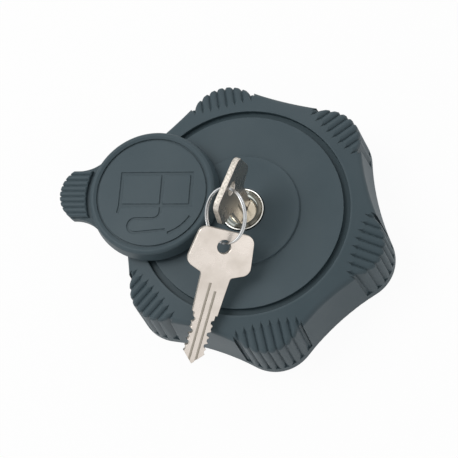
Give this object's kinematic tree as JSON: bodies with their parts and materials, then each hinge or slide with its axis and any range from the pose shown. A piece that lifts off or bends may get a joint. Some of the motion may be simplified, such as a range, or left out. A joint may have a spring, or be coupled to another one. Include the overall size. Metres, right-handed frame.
{
  "type": "fuel filler cap",
  "caption": "Six-lobed locking fuel filler cap with a swinging dust flap, a key in the lock and a spare key on a split ring.",
  "frame": {"origin": "on the cap's axis in the plane of the hood's lower rim", "axes": "+Z out of the filler neck through the lock, +X through one lobe of the hood and along the lock's bolt"},
  "size_m": [0.1062, 0.1009, 0.0565],
  "materials": {
    "hood_plastic": "fine moulded grain, dark slate",
    "closure_plastic": "plain moulded, black",
    "seal_rubber": "smooth",
    "bright_trim": "polished",
    "lock_metal": "die cast, satin",
    "key_nickel": "nickel plated, satin",
    "wafer_brass": "stamped",
    "zinc_steel": "zinc plated"
  },
  "bodies": {
    "base": {"hood": "hood_plastic", "lock_bezel": "bright_trim", "lock_housing": "lock_metal", "lock_o_ring": "seal_rubber", "lock_retaining_clip": "zinc_steel", "closure_body": "closure_plastic", "neck_gasket": "seal_rubber", "closure_screws": "zinc_steel", "valve_cap": "closure_plastic", "valve_spring": "zinc_steel", "flap_spring_washer": "zinc_steel"},
    "flap": {"dust_flap": "hood_plastic", "flap_pivot_screw": "zinc_steel"},
    "plug": {"lock_plug": "lock_metal", "wafer_tumblers": "wafer_brass", "lock_cam": "lock_metal", "cam_e_clip": "zinc_steel"},
    "bolt": {"lock_bolt": "lock_metal"},
    "key": {"key_in_lock": "key_nickel"},
    "ring": {"key_ring": "zinc_steel"},
    "spare": {"spare_key": "key_nickel"},
    "valve": {"valve_disc": "closure_plastic", "valve_seal": "seal_rubber"}
  },
  "joints": [
    {"name": "flap_swing", "type": "hinge", "parent": "base", "child": "flap", "pos_m": [-0.0081, 0.01403, 0.0276], "axis": [0, 0, 1], "range_deg": [-195.5, 0]},
    {"name": "plug_turn", "type": "hinge", "parent": "base", "child": "plug", "pos_m": [0, 0, 0.02], "axis": [0, 0, 1], "range_deg": [0, 90]},
    {"name": "bolt_slide", "type": "slide", "parent": "base", "child": "bolt", "axis": [1, 0, 0], "range_m": [-0.0035, 0]},
    {"name": "key_withdraw", "type": "slide", "parent": "plug", "child": "key", "axis": [0, 0, 1], "range_m": [0, 0.0685]},
    {"name": "ring_swing", "type": "hinge", "parent": "key", "child": "ring", "pos_m": [0, 0, 0.05025], "axis": [-0.4446, 0.8957, 0], "range_deg": [0, 60]},
    {"name": "spare_swing", "type": "hinge", "parent": "ring", "child": "spare", "pos_m": [-0.01329, -0.01021, 0.04189], "axis": [-0.4049, 0.7705, -0.4922], "range_deg": [0, 12]},
    {"name": "valve_lift", "type": "slide", "parent": "base", "child": "valve", "axis": [0, 0, 1], "range_m": [0, 0.0012], "stiffness_N_per_m": 250, "springref_m": -0.002, "deforming": ["valve_spring"]}
  ],
  "couplings": [
    {"joint": "bolt_slide", "follows": "plug_turn", "m_per_rad": -0.002228},
    {"joint": "key_withdraw", "follows": "flap_swing", "m_per_rad": -0.02}
  ]
}
